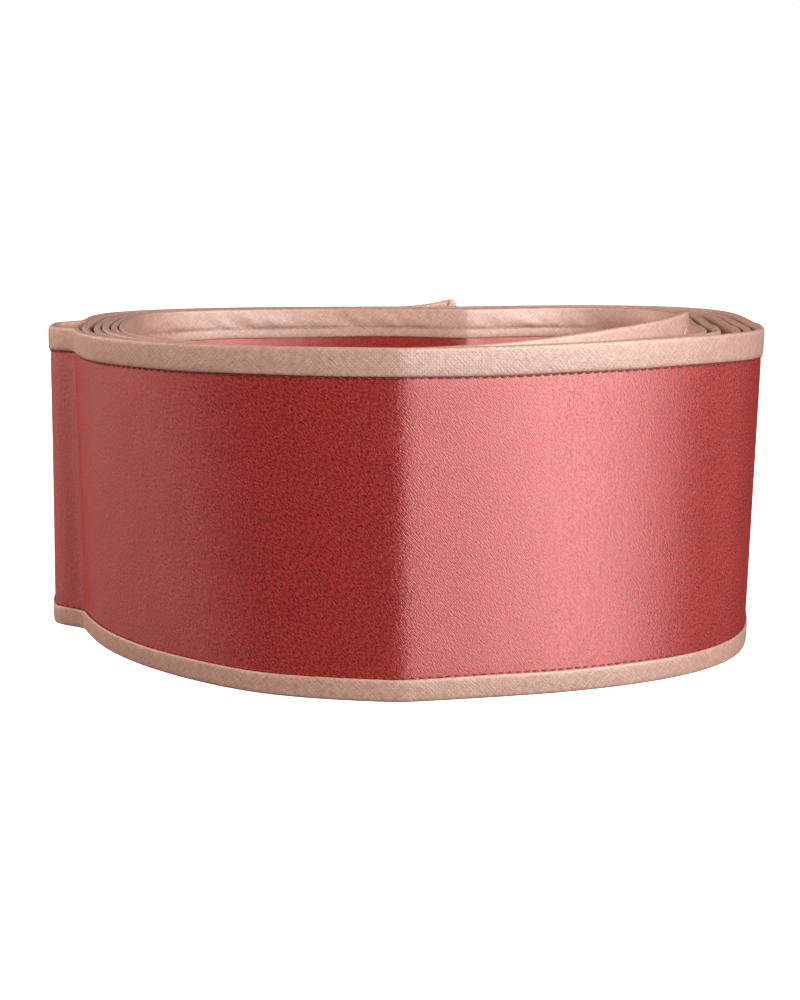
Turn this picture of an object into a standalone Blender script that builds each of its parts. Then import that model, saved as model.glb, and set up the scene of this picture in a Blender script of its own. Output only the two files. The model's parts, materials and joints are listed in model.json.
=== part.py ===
"""A satin sash bound at its edges, wound into a loose oval coil that stands on its long edge.

The coil is one strip. Its middle line in plan follows the coil's outline, drawn in by an inset that
grows turn by turn, so the layers lie one inside another and never cross. Each turn is cut into three
pieces: the satin between the bindings, the binding on the upper edge and the binding on the lower
edge. Two more bindings close the strip's short ends. Units are metres, +Z is up, and the origin is
under the middle of the coil, on the surface that it stands on.
"""
import math
from dataclasses import dataclass

import bmesh
import bpy
import numpy as np
from mathutils import Vector

# Cloth sizes
SASH_WIDTH = 0.0800
TOP_BINDING_HEIGHT = 0.0067
BOTTOM_BINDING_HEIGHT = 0.0052
END_BINDING_WIDTH = 0.0067
BINDING_THICKNESS = 0.0018
SATIN_THICKNESS = 0.0013
EDGE_ROUNDING = 0.0004
END_CORNER_RADIUS = 0.0018
SEAM_GAP = 0.0003

# The coil's outer face in plan, in millimetres: x to the right, y away from the nearest point, first on
# the floor and then at the upper edge, because the cloth leans out at the left and back at the right
MM = 0.001
OUTLINE_COLUMNS = ("floor_x", "floor_y", "top_x", "top_y")
OUTLINE_ROWS = (
    (-2.0, -0.8, -0.6, 0.3),
    (-28.0, 4.3, -27.5, 4.0),
    (-54.6, 20.9, -58.0, 19.5),
    (-76.6, 47.0, -77.5, 43.5),
    (-82.8, 60.0, -83.3, 60.0),
    (-89.4, 80.0, -87.2, 79.0),
    (-91.6, 108.0, -90.0, 108.0),
    (-89.0, 138.0, -87.4, 138.0),
    (-66.0, 159.0, -64.4, 159.0),
    (-22.0, 168.5, -20.4, 168.5),
    (30.0, 174.0, 31.6, 174.0),
    (74.0, 171.0, 75.6, 171.0),
    (93.6, 149.0, 95.2, 149.0),
    (96.3, 111.0, 98.4, 111.0),
    (92.6, 69.4, 94.1, 70.0),
    (82.6, 34.9, 85.8, 38.4),
    (60.7, 16.0, 62.0, 18.6),
    (29.3, 4.5, 30.5, 6.3),
)
OUTLINE_CENTRE_XY = (3.0, 86.0)
NORMAL_STEP_DEG = 0.5

# How far each turn's middle line lies inside the outer face, in millimetres, outermost turn first
QUARTER_COLUMNS = ("back", "left", "front", "right")
INSET_ROWS = (
    (0.9, 0.9, 0.9, 0.9),
    (3.1, 3.2, 3.1, 4.3),
    (5.3, 6.3, 5.3, 6.9),
    (7.5, 8.5, 7.5, 12.3),
    (9.7, 10.7, 9.7, 16.0),
    (11.9, 12.9, 11.9, 20.4),
)
COLUMN_STEP_DEG = 360.0 / len(QUARTER_COLUMNS)
BACK_DEG = 90.0

# How far each turn's upper edge stands above the sash's own width, in millimetres, in those columns
RISE_ROWS = (
    (0.0, 0.0, 0.0, 0.7),
    (0.0, 0.0, -0.6, 0.2),
    (0.1, -0.2, -0.85, -0.1),
    (-0.1, 0.1, -1.05, 0.1),
    (0.0, -0.1, -1.2, 0.0),
    (0.1, 0.0, -1.1, -1.8),
)

# The upper edge of every turn also rises at the front right
BROW_DEG = 320.0
BROW_HALF_SPAN_DEG = 46.0
BROW_RISE = 0.0006

# Where the strip ends, as angles about the outline's centre, counted on from the outer end
OUTER_END_DEG = 80.0
INNER_END_DEG = 332.0 + 5 * 360.0
STATION_STEP_DEG = 6.0

# The outermost turn bulges off the others at the left
LOBE_CENTRE_DEG = 183.4
LOBE_HALF_SPAN_DEG = 11.5
LOBE_FLANK_SHARE = 0.6
LOBE_DEPTH = 0.0064
LOBE_STATIONS_PER_STEP = 3

# An upright fold pushes the turns in at the back, more so towards the inner end
RIDGE_DEG = 79.6
RIDGE_DEPTH = 0.0070
RIDGE_BEFORE_DEG = 25.0
RIDGE_AFTER_DEG = 30.0
RIDGE_SOFTNESS = 0.08
RIDGE_GROWTH = 1.5

# Both ends of the strip ride up out of the coil
INNER_LIFT = 0.0066
INNER_LIFT_LENGTH = 0.095
OUTER_LIFT = 0.0028
OUTER_LIFT_LENGTH = 0.020
LIFT_POWER = 2.0

COLLECTION_NAME = "satin_sash"


@dataclass
class Station:
    """A place along the strip: its middle line and outward normal, on the floor and at the top."""

    degrees: float
    foot: Vector
    head: Vector
    foot_outward: Vector = None
    head_outward: Vector = None
    lift: float = 0.0
    rise: float = 0.0

    def at(self, height, offset=0.0):
        """Return the point at a height of the strip's own, moved outward by an offset."""
        share = height / SASH_WIDTH
        middle = self.foot.lerp(self.head, share)
        outward = self.foot_outward.lerp(self.head_outward, share).normalized()
        return middle + outward * offset + Vector((0.0, 0.0, height + self.lift + self.rise * share))

    def moved_towards(self, other, foot_distance, head_distance):
        """Return a copy of this station moved towards another one, by a distance at each level."""
        share = foot_distance / (other.foot - self.foot).length
        head_share = head_distance / (other.head - self.head).length
        return Station(
            self.degrees,
            self.foot.lerp(other.foot, share),
            self.head.lerp(other.head, head_share),
            self.foot_outward.lerp(other.foot_outward, share),
            self.head_outward.lerp(other.head_outward, share),
            self.lift + (other.lift - self.lift) * share,
            self.rise + (other.rise - self.rise) * share,
        )


def clear_scene():
    """Remove the objects that a new file starts with."""
    for item in list(bpy.data.objects):
        bpy.data.objects.remove(item, do_unlink=True)


def make_material(name, colour, roughness):
    """Return a Principled cloth material."""
    material = bpy.data.materials.new(name)
    material.use_nodes = True
    shader = material.node_tree.nodes["Principled BSDF"]
    shader.inputs["Base Color"].default_value = (*colour, 1.0)
    shader.inputs["Roughness"].default_value = roughness
    shader.inputs["Metallic"].default_value = 0.0
    return material


class Outline:
    """The coil's outer face in plan at one level: a smooth closed curve, radius against angle."""

    def __init__(self, level):
        column = OUTLINE_COLUMNS.index(f"{level}_x")
        centre_x, centre_y = OUTLINE_CENTRE_XY
        rows = []
        for values in OUTLINE_ROWS:
            x = values[column] - centre_x
            y = values[column + 1] - centre_y
            rows.append((math.atan2(y, x) % math.tau, math.hypot(x, y) * MM))
        rows.sort()
        self.angles = np.array([row[0] for row in rows])
        self.radii = np.array([row[1] for row in rows])
        self.spans = np.diff(np.append(self.angles, self.angles[0] + math.tau))
        self.bends = self.solve_bends()

    def solve_bends(self):
        """Return the second derivatives of the closed cubic spline at its points."""
        count = len(self.angles)
        matrix = np.zeros((count, count))
        right_side = np.zeros(count)
        for i in range(count):
            before = self.spans[i - 1]
            after = self.spans[i]
            following = (i + 1) % count
            matrix[i, i - 1] = before / 6
            matrix[i, i] = (before + after) / 3
            matrix[i, following] = after / 6
            rise_after = (self.radii[following] - self.radii[i]) / after
            rise_before = (self.radii[i] - self.radii[i - 1]) / before
            right_side[i] = rise_after - rise_before
        return np.linalg.solve(matrix, right_side)

    def radius(self, angle):
        """Return the radius at an angle in radians."""
        turned = (angle - self.angles[0]) % math.tau + self.angles[0]
        i = int(np.searchsorted(self.angles, turned, side="right")) - 1
        following = (i + 1) % len(self.angles)
        span = self.spans[i]
        b = (turned - self.angles[i]) / span
        a = 1.0 - b
        curve = (a**3 - a) * self.bends[i] + (b**3 - b) * self.bends[following]
        return a * self.radii[i] + b * self.radii[following] + curve * span**2 / 6

    def point(self, angle):
        """Return the plan point at an angle in radians."""
        radius = self.radius(angle)
        x = OUTLINE_CENTRE_XY[0] * MM + radius * math.cos(angle)
        y = OUTLINE_CENTRE_XY[1] * MM + radius * math.sin(angle)
        return Vector((x, y, 0.0))

    def inside(self, degrees, depth):
        """Return the point that lies a depth inside the face, square to it."""
        angle = math.radians(degrees)
        step = math.radians(NORMAL_STEP_DEG)
        outward = outward_of(self.point(angle - step), self.point(angle + step))
        return self.point(angle) - outward * depth


def outward_of(before, after):
    """Return the unit normal, in plan, of a stretch that runs anticlockwise round the coil."""
    along = after - before
    return Vector((along.y, -along.x, 0.0)).normalized()


def smooth_step(t):
    """Ease from 0 to 1 with level ends."""
    t = min(max(t, 0.0), 1.0)
    return t * t * (3.0 - 2.0 * t)


def by_quarter(rows, degrees):
    """Return a length read from rows that give it at the back, left, front and right of each turn."""
    values = [value for row in rows for value in row]
    place = max((degrees - BACK_DEG) / COLUMN_STEP_DEG, 0.0)
    before = min(int(place), len(values) - 2)
    blend = smooth_step(place - before)
    return (values[before] + (values[before + 1] - values[before]) * blend) * MM


def turned_from(degrees, centre_deg):
    """Return the angle from a centre to a place in any turn, between -180 and 180 degrees."""
    return (degrees - centre_deg + 180.0) % 360.0 - 180.0


def ridge_at(degrees):
    """Return how far the upright fold at the back pushes the strip in."""
    turned = turned_from(degrees, RIDGE_DEG)
    reach = RIDGE_BEFORE_DEG if turned < 0.0 else RIDGE_AFTER_DEG
    away = math.hypot(turned / reach, RIDGE_SOFTNESS) - RIDGE_SOFTNESS
    whole_turns = 360.0 * (len(INSET_ROWS) - 1)
    wound = min((degrees - OUTER_END_DEG) / whole_turns, 1.0)
    return RIDGE_DEPTH * wound**RIDGE_GROWTH * max(1.0 - away, 0.0) ** 2


def brow_at(degrees):
    """Return how far the upper edge rises at the front right."""
    away = abs(turned_from(degrees, BROW_DEG)) / BROW_HALF_SPAN_DEG
    return BROW_RISE * smooth_step(1.0 - away)


def lobe_at(degrees):
    """Return how far the outermost turn stands off at the left."""
    offset = abs(degrees - LOBE_CENTRE_DEG) / LOBE_HALF_SPAN_DEG
    return LOBE_DEPTH * smooth_step((1.0 - offset) / LOBE_FLANK_SHARE)


def turn_break(number):
    """Return the angle at which a turn of the coil starts."""
    return OUTER_END_DEG + (number - 1) * 360.0


def station_angles():
    """Return the angles of the stations, closer together where the lobe bends the cloth."""
    angles = []
    degrees = OUTER_END_DEG
    reach = LOBE_HALF_SPAN_DEG + STATION_STEP_DEG / 2
    while degrees < INNER_END_DEG:
        in_lobe = abs(degrees + STATION_STEP_DEG / 2 - LOBE_CENTRE_DEG) <= reach
        parts = LOBE_STATIONS_PER_STEP if in_lobe else 1
        for i in range(parts):
            angles.append(degrees + STATION_STEP_DEG * i / parts)
        degrees += STATION_STEP_DEG
    angles.append(INNER_END_DEG)
    return angles


def spiral_stations():
    """Return the strip's stations from its outer end to its inner end."""
    floor = Outline("floor")
    top = Outline("top")
    stations = []
    for degrees in station_angles():
        depth = by_quarter(INSET_ROWS, degrees) - lobe_at(degrees) + ridge_at(degrees)
        foot = floor.inside(degrees, depth)
        head = top.inside(degrees, depth)
        station = Station(degrees, foot, head)
        station.rise = by_quarter(RISE_ROWS, degrees) + brow_at(degrees)
        stations.append(station)
    square_normals(stations)
    lift_ends(stations)
    centre_plan(stations)
    return stations


def square_normals(stations):
    """Set each station's normals square to the strip's own run."""
    last = len(stations) - 1
    for i, station in enumerate(stations):
        before = stations[max(i - 1, 0)]
        after = stations[min(i + 1, last)]
        station.foot_outward = outward_of(before.foot, after.foot)
        station.head_outward = outward_of(before.head, after.head)


def lift_ends(stations):
    """Raise the two ends of the strip out of the coil."""
    lengths = [0.0]
    for before, after in zip(stations, stations[1:]):
        lengths.append(lengths[-1] + (after.foot - before.foot).length)
    for station, length in zip(stations, lengths):
        inner = max(1.0 - (lengths[-1] - length) / INNER_LIFT_LENGTH, 0.0)
        outer = max(1.0 - length / OUTER_LIFT_LENGTH, 0.0)
        station.lift = INNER_LIFT * inner**LIFT_POWER + OUTER_LIFT * outer**LIFT_POWER


def centre_plan(stations):
    """Move the coil in plan so that the origin is under the middle of its box."""
    half = BINDING_THICKNESS / 2
    places = [place for station in stations for place in (station.foot, station.head)]
    low_x = min(place.x for place in places) - half
    high_x = max(place.x for place in places) + half
    low_y = min(place.y for place in places) - half
    high_y = max(place.y for place in places) + half
    middle = Vector(((low_x + high_x) / 2, (low_y + high_y) / 2, 0.0))
    for station in stations:
        station.foot = station.foot - middle
        station.head = station.head - middle


def shorten(run, distance):
    """Return a run of stations with a length cut off its first end."""
    run = list(run)
    foot_left = distance
    head_left = distance
    foot_step = (run[1].foot - run[0].foot).length
    head_step = (run[1].head - run[0].head).length
    while foot_step <= foot_left and head_step <= head_left:
        foot_left -= foot_step
        head_left -= head_step
        run.pop(0)
        foot_step = (run[1].foot - run[0].foot).length
        head_step = (run[1].head - run[0].head).length
    run[0] = run[0].moved_towards(run[1], foot_left, head_left)
    return run


def trim(stations, start, end):
    """Return a run of stations shortened by a length at its start and at its end."""
    from_start = shorten(stations, start)
    from_end = shorten(from_start[::-1], end)
    return from_end[::-1]


def link(name, mesh, material, collection):
    """Make an object of a mesh, with its material, in the sash's collection."""
    item = bpy.data.objects.new(name, mesh)
    mesh.materials.append(material)
    collection.objects.link(item)
    return item


def satin_section():
    """Return the corners of the satin wall's section, as offsets across it and heights."""
    half = SATIN_THICKNESS / 2
    low = BOTTOM_BINDING_HEIGHT + SEAM_GAP
    high = SASH_WIDTH - TOP_BINDING_HEIGHT - SEAM_GAP
    return [(-half, low), (half, low), (half, high), (-half, high)]


def binding_section(seam, fold):
    """Return the corners of a binding's section, flat at its seam and rounded at its fold."""
    half = BINDING_THICKNESS / 2
    flat = half - EDGE_ROUNDING
    shoulder = fold - math.copysign(EDGE_ROUNDING, fold - seam)
    outer = [(half, seam), (half, shoulder), (flat, fold)]
    inner = [(-flat, fold), (-half, shoulder), (-half, seam)]
    return outer + inner


def make_wall(name, stations, section, material, collection):
    """Loft a closed wall of one section through the stations."""
    bm = bmesh.new()
    rings = []
    for station in stations:
        rings.append([bm.verts.new(station.at(height, offset)) for offset, height in section])
    count = len(section)
    for before, after in zip(rings, rings[1:]):
        for i in range(count):
            following = (i + 1) % count
            bm.faces.new((before[i], before[following], after[following], after[i]))
    bm.faces.new(rings[0])
    bm.faces.new(rings[-1])
    bmesh.ops.recalc_face_normals(bm, faces=bm.faces)
    mesh = bpy.data.meshes.new(name)
    bm.to_mesh(mesh)
    bm.free()
    return link(name, mesh, material, collection)


def corner_arc(centre_run, centre_height, start_deg, end_deg, steps=3):
    """Return points of a rounded corner, as distances along the strip and heights."""
    points = []
    for i in range(steps + 1):
        angle = math.radians(start_deg + (end_deg - start_deg) * i / steps)
        run = centre_run + END_CORNER_RADIUS * math.cos(angle)
        height = centre_height + END_CORNER_RADIUS * math.sin(angle)
        points.append((run, height))
    return points


def make_end_binding(name, end, inner, material, collection):
    """Make the binding over a short end: a full-height bar with its two free corners rounded."""
    along = (inner.foot - end.foot).normalized()
    radius = END_CORNER_RADIUS
    profile = [(END_BINDING_WIDTH, 0.0), (END_BINDING_WIDTH, SASH_WIDTH)]
    profile += corner_arc(radius, SASH_WIDTH - radius, 90.0, 180.0)
    profile += corner_arc(radius, radius, 180.0, 270.0)
    bm = bmesh.new()
    verts = []
    for run, height in profile:
        verts.append(bm.verts.new(end.at(height) + along * run))
    bm.faces.new(verts)
    mesh = bpy.data.meshes.new(name)
    bm.to_mesh(mesh)
    bm.free()
    item = link(name, mesh, material, collection)
    wall = item.modifiers.new("wall", "SOLIDIFY")
    wall.thickness = BINDING_THICKNESS
    wall.offset = 0.0
    return item


def make_turn(number, stations, satin, binding, collection):
    """Make the three pieces of one turn of the coil."""
    top = binding_section(SASH_WIDTH - TOP_BINDING_HEIGHT, SASH_WIDTH)
    bottom = binding_section(BOTTOM_BINDING_HEIGHT, 0.0)
    make_wall(f"satin_turn_{number}", stations, satin_section(), satin, collection)
    make_wall(f"binding_top_turn_{number}", stations, top, binding, collection)
    make_wall(f"binding_bottom_turn_{number}", stations, bottom, binding, collection)


def main():
    """Build the sash."""
    clear_scene()
    collection = bpy.data.collections.new(COLLECTION_NAME)
    bpy.context.scene.collection.children.link(collection)
    satin = make_material("rose_satin", (0.56, 0.105, 0.105), 0.38)
    binding = make_material("peach_binding", (0.73, 0.40, 0.33), 0.75)
    stations = spiral_stations()
    end_cut = END_BINDING_WIDTH + SEAM_GAP
    last_turn = len(INSET_ROWS)
    for number in range(1, last_turn + 1):
        first = turn_break(number)
        last = turn_break(number + 1)
        run = [station for station in stations if first <= station.degrees <= last]
        start = end_cut if number == 1 else SEAM_GAP / 2
        end = end_cut if number == last_turn else SEAM_GAP / 2
        make_turn(number, trim(run, start, end), satin, binding, collection)
    make_end_binding("binding_end_outer", stations[0], stations[1], binding, collection)
    make_end_binding("binding_end_inner", stations[-1], stations[-2], binding, collection)


main()
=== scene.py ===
"""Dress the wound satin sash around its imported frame.

The sash is one long strip of satin, bound along both edges and both ends with bias tape, and
wound into a loose oval coil that stands on its long edge. Every piece is a thin sheet laid on the
strip's own surface: a place on it is a distance along the strip, a height above the strip's lower
edge and an offset across its thickness. Lengths are in metres unless a name says otherwise.
"""

import json
import logging
import math
from dataclasses import dataclass, field
from enum import Enum
from typing import Any, Sequence

import bmesh
import bpy
import numpy as np
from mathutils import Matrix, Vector

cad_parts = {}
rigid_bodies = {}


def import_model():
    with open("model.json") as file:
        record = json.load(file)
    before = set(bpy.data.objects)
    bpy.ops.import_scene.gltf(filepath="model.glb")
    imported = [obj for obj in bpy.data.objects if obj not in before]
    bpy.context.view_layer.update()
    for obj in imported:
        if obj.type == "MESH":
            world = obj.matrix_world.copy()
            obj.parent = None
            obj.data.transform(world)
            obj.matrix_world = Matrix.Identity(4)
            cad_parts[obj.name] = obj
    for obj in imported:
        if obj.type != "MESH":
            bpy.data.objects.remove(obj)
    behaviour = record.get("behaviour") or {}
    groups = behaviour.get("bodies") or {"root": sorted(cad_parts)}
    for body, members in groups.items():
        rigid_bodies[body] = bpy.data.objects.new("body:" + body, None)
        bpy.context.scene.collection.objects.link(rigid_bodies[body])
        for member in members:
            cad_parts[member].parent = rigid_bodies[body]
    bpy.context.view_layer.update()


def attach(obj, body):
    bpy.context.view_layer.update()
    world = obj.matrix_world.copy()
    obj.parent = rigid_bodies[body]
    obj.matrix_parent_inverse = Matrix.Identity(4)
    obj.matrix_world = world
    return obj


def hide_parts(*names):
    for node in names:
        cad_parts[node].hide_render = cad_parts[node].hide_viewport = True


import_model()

LOG = logging.getLogger("satin_sash")
MM = 0.001
MERGE_DISTANCE = 0.002 * MM
SHORTEST_EDGE = 0.001 * MM
UV_NAME = "Cloth"
WHITE = (1.0, 1.0, 1.0)
WARM_WHITE = (1.0, 0.88, 0.80)


class Side(Enum):
    """The face of the strip that a piece lies on."""

    FRONT = 1.0
    REVERSE = -1.0


class Edge(Enum):
    """A long edge of the strip."""

    TOP = "top"
    BOTTOM = "bottom"


class End(Enum):
    """A short end of the strip."""

    OUTER = "outer"
    INNER = "inner"


class SlotName(Enum):
    """The record's material slots."""

    SATIN = "satin"
    BINDING = "binding"


def smooth_step(t: np.ndarray) -> np.ndarray:
    """Ease from 0 to 1 with level ends."""
    t = np.clip(t, 0.0, 1.0)
    return t * t * (3.0 - 2.0 * t)


def waves(place: np.ndarray, rows: Sequence[Sequence[float]]) -> np.ndarray:
    """Add up sines; each row has a size, the radians for each metre and a phase."""
    return sum(size * np.sin(place * rate + phase) for size, rate, phase in rows)


def unit(vectors: np.ndarray) -> np.ndarray:
    """Return vectors of length 1 in the same directions; the last axis holds their parts."""
    return vectors / np.linalg.norm(vectors, axis=-1, keepdims=True)


class ClosedOutline:
    """A smooth closed curve in plan: a cubic spline of the radius against the angle."""

    def __init__(self, places: np.ndarray, centre: np.ndarray) -> None:
        """Fit the spline.

        Args:
            places: the outline's points in plan, one row each.
            centre: the plan point that angles are measured about.
        """
        self.centre = centre
        spokes = places - centre
        angles = np.arctan2(spokes[:, 1], spokes[:, 0]) % math.tau
        order = np.argsort(angles)
        self.angles = angles[order]
        self.radii = np.hypot(spokes[:, 0], spokes[:, 1])[order]
        self.spans = np.diff(np.append(self.angles, self.angles[0] + math.tau))
        self.bends = self.solve_bends()

    def solve_bends(self) -> np.ndarray:
        """Return the second derivatives of the closed spline at its points."""
        before = np.roll(self.spans, 1)
        matrix = np.diag((before + self.spans) / 3)
        i = np.arange(len(self.spans))
        matrix[i, i - 1] = before / 6
        matrix[i - 1, i] = before / 6
        slopes = (np.roll(self.radii, -1) - self.radii) / self.spans
        return np.linalg.solve(matrix, slopes - np.roll(slopes, 1))

    def points(self, degrees: np.ndarray) -> np.ndarray:
        """Return the plan points at some angles.

        Args:
            degrees: the angles about the centre.

        Returns:
            One row of x and y for each angle.
        """
        angle = np.radians(degrees)
        turned = (angle - self.angles[0]) % math.tau + self.angles[0]
        i = np.searchsorted(self.angles, turned, side="right") - 1
        following = (i + 1) % len(self.angles)
        span = self.spans[i]
        b = (turned - self.angles[i]) / span
        a = 1.0 - b
        curve = (a**3 - a) * self.bends[i] + (b**3 - b) * self.bends[following]
        radius = a * self.radii[i] + b * self.radii[following] + curve * span**2 / 6
        return self.centre + radius[:, None] * np.stack([np.cos(angle), np.sin(angle)], axis=1)

    def inside(self, degrees: np.ndarray, depth: np.ndarray) -> np.ndarray:
        """Return the points that lie some depths inside the curve, square to it.

        Args:
            degrees: the angles about the centre.
            depth: how far inside each point lies.

        Returns:
            One row of x and y for each angle.
        """
        half_step_deg = 0.5
        before = self.points(degrees - half_step_deg)
        after = self.points(degrees + half_step_deg)
        return self.points(degrees) - outward_of(after - before) * depth[:, None]


def outward_of(along: np.ndarray) -> np.ndarray:
    """Return the unit normals, in plan, of runs that go anticlockwise round the coil."""
    return unit(np.stack([along[:, 1], -along[:, 0]], axis=1))


def by_quarter(rows: Sequence[Sequence[float]], degrees: np.ndarray) -> np.ndarray:
    """Read a table that gives one value at the back, left, front and right of each turn.

    Args:
        rows: one row for each turn, outermost first, with its four values in millimetres.
        degrees: angles counted on along the winding.

    Returns:
        The values in metres, eased from each to the next.
    """
    back_deg = 90.0
    values = np.array(rows, dtype=float).ravel()
    last_place = len(values) - 1.001
    place = np.clip((degrees - back_deg) / 90.0, 0.0, last_place)
    before = place.astype(int)
    blend = smooth_step(place - before)
    return (values[before] + (values[before + 1] - values[before]) * blend) * MM


@dataclass(frozen=True)
class Fold:
    """A soft crease that runs up through every layer of the coil.

    The crease stands out by its height, and beside it lie flatter flanks, pulled in by their depth.
    """

    degrees: float
    height: float
    flank: float
    reach_before_deg: float
    reach_after_deg: float
    softness: float = 0.07
    lean_deg: float = 0.0
    foot_share: float = 1.0
    head_share: float = 1.0

    def at(self, degrees: np.ndarray, share: np.ndarray) -> np.ndarray:
        """Return how far the cloth stands off its plain curve.

        Args:
            degrees: angles along the winding.
            share: heights as a share of the strip's width.

        Returns:
            The offsets outward, in metres.
        """
        centre = self.degrees + self.lean_deg * (share - 0.5)
        turned = (degrees - centre + 180.0) % 360.0 - 180.0
        reach = np.where(turned < 0.0, self.reach_before_deg, self.reach_after_deg)
        away = np.hypot(turned / reach, self.softness) - self.softness
        fade = np.clip(1.0 - away, 0.0, 1.0) ** 2
        deepest_flank = 4.0 / 27.0
        form = fade * (self.height - self.flank * np.clip(away, 0.0, 1.0) / deepest_flank)
        return form * (self.foot_share + (self.head_share - self.foot_share) * share)


@dataclass
class CoilPath:
    """The surface of the strip as it is wound: the frame's own path, with closer stations."""

    width: float = 0.0800
    outer_end_deg: float = 80.0
    inner_end_deg: float = 332.0 + 5 * 360.0
    step_deg: float = 1.0
    outline_centre: tuple[float, float] = (3.0, 86.0)
    front_point: tuple[float, float] = (-0.00102, -0.08673)
    inner_lift: float = 0.0066
    inner_lift_length: float = 0.095
    outer_lift: float = 0.0028
    outer_lift_length: float = 0.020
    lift_power: float = 2.0
    lobe_centre_deg: float = 183.4
    lobe_half_span_deg: float = 11.5
    lobe_flank_share: float = 0.6
    lobe_depth: float = 0.0064
    ridge_deg: float = 79.6
    ridge_depth: float = 0.0070
    ridge_before_deg: float = 25.0
    ridge_after_deg: float = 30.0
    ridge_softness: float = 0.08
    ridge_growth: float = 1.5
    brow_deg: float = 320.0
    brow_half_span_deg: float = 46.0
    brow_rise: float = 0.0006
    # x to the right and y away from the front point, on the floor and then at the upper edge, in mm
    outline_rows: tuple = (
        (-2.0, -0.8, -0.6, 0.3),
        (-28.0, 4.3, -27.5, 4.0),
        (-54.6, 20.9, -58.0, 19.5),
        (-76.6, 47.0, -77.5, 43.5),
        (-82.8, 60.0, -83.3, 60.0),
        (-89.4, 80.0, -87.2, 79.0),
        (-91.6, 108.0, -90.0, 108.0),
        (-89.0, 138.0, -87.4, 138.0),
        (-66.0, 159.0, -64.4, 159.0),
        (-22.0, 168.5, -20.4, 168.5),
        (30.0, 174.0, 31.6, 174.0),
        (74.0, 171.0, 75.6, 171.0),
        (93.6, 149.0, 95.2, 149.0),
        (96.3, 111.0, 98.4, 111.0),
        (92.6, 69.4, 94.1, 70.0),
        (82.6, 34.9, 85.8, 38.4),
        (60.7, 16.0, 62.0, 18.6),
        (29.3, 4.5, 30.5, 6.3),
    )
    # depth of the middle line inside the outer face, in mm: back, left, front, right of each turn
    inset_rows: tuple = (
        (0.9, 0.9, 0.9, 0.9),
        (3.1, 3.2, 3.1, 4.3),
        (5.3, 6.3, 5.3, 6.9),
        (7.5, 8.5, 7.5, 12.3),
        (9.7, 10.7, 9.7, 16.0),
        (11.9, 12.9, 11.9, 20.4),
    )
    # how far the upper edge stands above the strip's own width, in mm, in the same columns
    rise_rows: tuple = (
        (0.0, 0.0, 0.0, 0.7),
        (0.0, 0.0, -0.6, 0.2),
        (0.1, -0.2, -0.85, -0.1),
        (-0.1, 0.1, -1.05, 0.1),
        (0.0, -0.1, -1.2, 0.0),
        (0.1, 0.0, -1.1, -1.8),
    )
    folds: tuple = (
        Fold(268.1, 0.0, 0.00068, 24.0, 24.0, softness=0.06),
        Fold(128.0, 0.0003, 0.0002, 15.0, 19.0, softness=0.25, lean_deg=5.0, head_share=0.5),
        Fold(150.0, -0.0003, 0.0, 12.0, 12.0, softness=0.3, lean_deg=-6.0, foot_share=0.4),
        Fold(44.0, 0.0004, 0.0002, 14.0, 11.0, softness=0.2, lean_deg=-4.0, head_share=0.6),
        Fold(18.0, -0.0003, 0.0, 13.0, 15.0, softness=0.3, lean_deg=7.0, foot_share=0.5),
        Fold(348.0, 0.0002, 0.0002, 12.0, 12.0, softness=0.2, lean_deg=3.0, foot_share=0.6),
    )
    degrees: np.ndarray = field(init=False)
    along: np.ndarray = field(init=False)

    def __post_init__(self) -> None:
        """Work out the stations."""
        count = int(round((self.inner_end_deg - self.outer_end_deg) / self.step_deg))
        self.degrees = np.linspace(self.outer_end_deg, self.inner_end_deg, count + 1)
        depth = by_quarter(self.inset_rows, self.degrees) - self.lobe() + self.ridge()
        centre = np.array(self.outline_centre) * MM
        rows = np.array(self.outline_rows) * MM
        shift = np.array(self.front_point)
        self.foot = ClosedOutline(rows[:, 0:2], centre).inside(self.degrees, depth) + shift
        self.head = ClosedOutline(rows[:, 2:4], centre).inside(self.degrees, depth) + shift
        self.foot_out = outward_of(np.gradient(self.foot, axis=0))
        self.head_out = outward_of(np.gradient(self.head, axis=0))
        steps = np.linalg.norm(np.diff(self.foot, axis=0), axis=1)
        self.along = np.concatenate([[0.0], np.cumsum(steps)])
        self.rise = by_quarter(self.rise_rows, self.degrees) + self.brow()
        self.lift = self.end_lift()

    @property
    def length(self) -> float:
        """The strip's whole length."""
        return float(self.along[-1])

    def lobe(self) -> np.ndarray:
        """Return how far the outermost turn stands off the others at the left."""
        offset = np.abs(self.degrees - self.lobe_centre_deg) / self.lobe_half_span_deg
        return self.lobe_depth * smooth_step((1.0 - offset) / self.lobe_flank_share)

    def ridge(self) -> np.ndarray:
        """Return how far each turn is pushed in at the back, more so towards the inner end."""
        turned = (self.degrees - self.ridge_deg + 180.0) % 360.0 - 180.0
        reach = np.where(turned < 0.0, self.ridge_before_deg, self.ridge_after_deg)
        away = np.hypot(turned / reach, self.ridge_softness) - self.ridge_softness
        whole_turns = 360.0 * (len(self.inset_rows) - 1)
        wound = np.clip((self.degrees - self.outer_end_deg) / whole_turns, 0.0, 1.0)
        return self.ridge_depth * wound**self.ridge_growth * np.clip(1.0 - away, 0.0, 1.0) ** 2

    def brow(self) -> np.ndarray:
        """Return how far the upper edge of every turn rises at the front right."""
        turned = np.abs((self.degrees - self.brow_deg + 180.0) % 360.0 - 180.0)
        return self.brow_rise * smooth_step(1.0 - turned / self.brow_half_span_deg)

    def end_lift(self) -> np.ndarray:
        """Return how far the two ends of the strip ride up out of the coil."""
        inner = np.clip(1.0 - (self.length - self.along) / self.inner_lift_length, 0.0, 1.0)
        outer = np.clip(1.0 - self.along / self.outer_lift_length, 0.0, 1.0)
        return self.inner_lift * inner**self.lift_power + self.outer_lift * outer**self.lift_power

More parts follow.
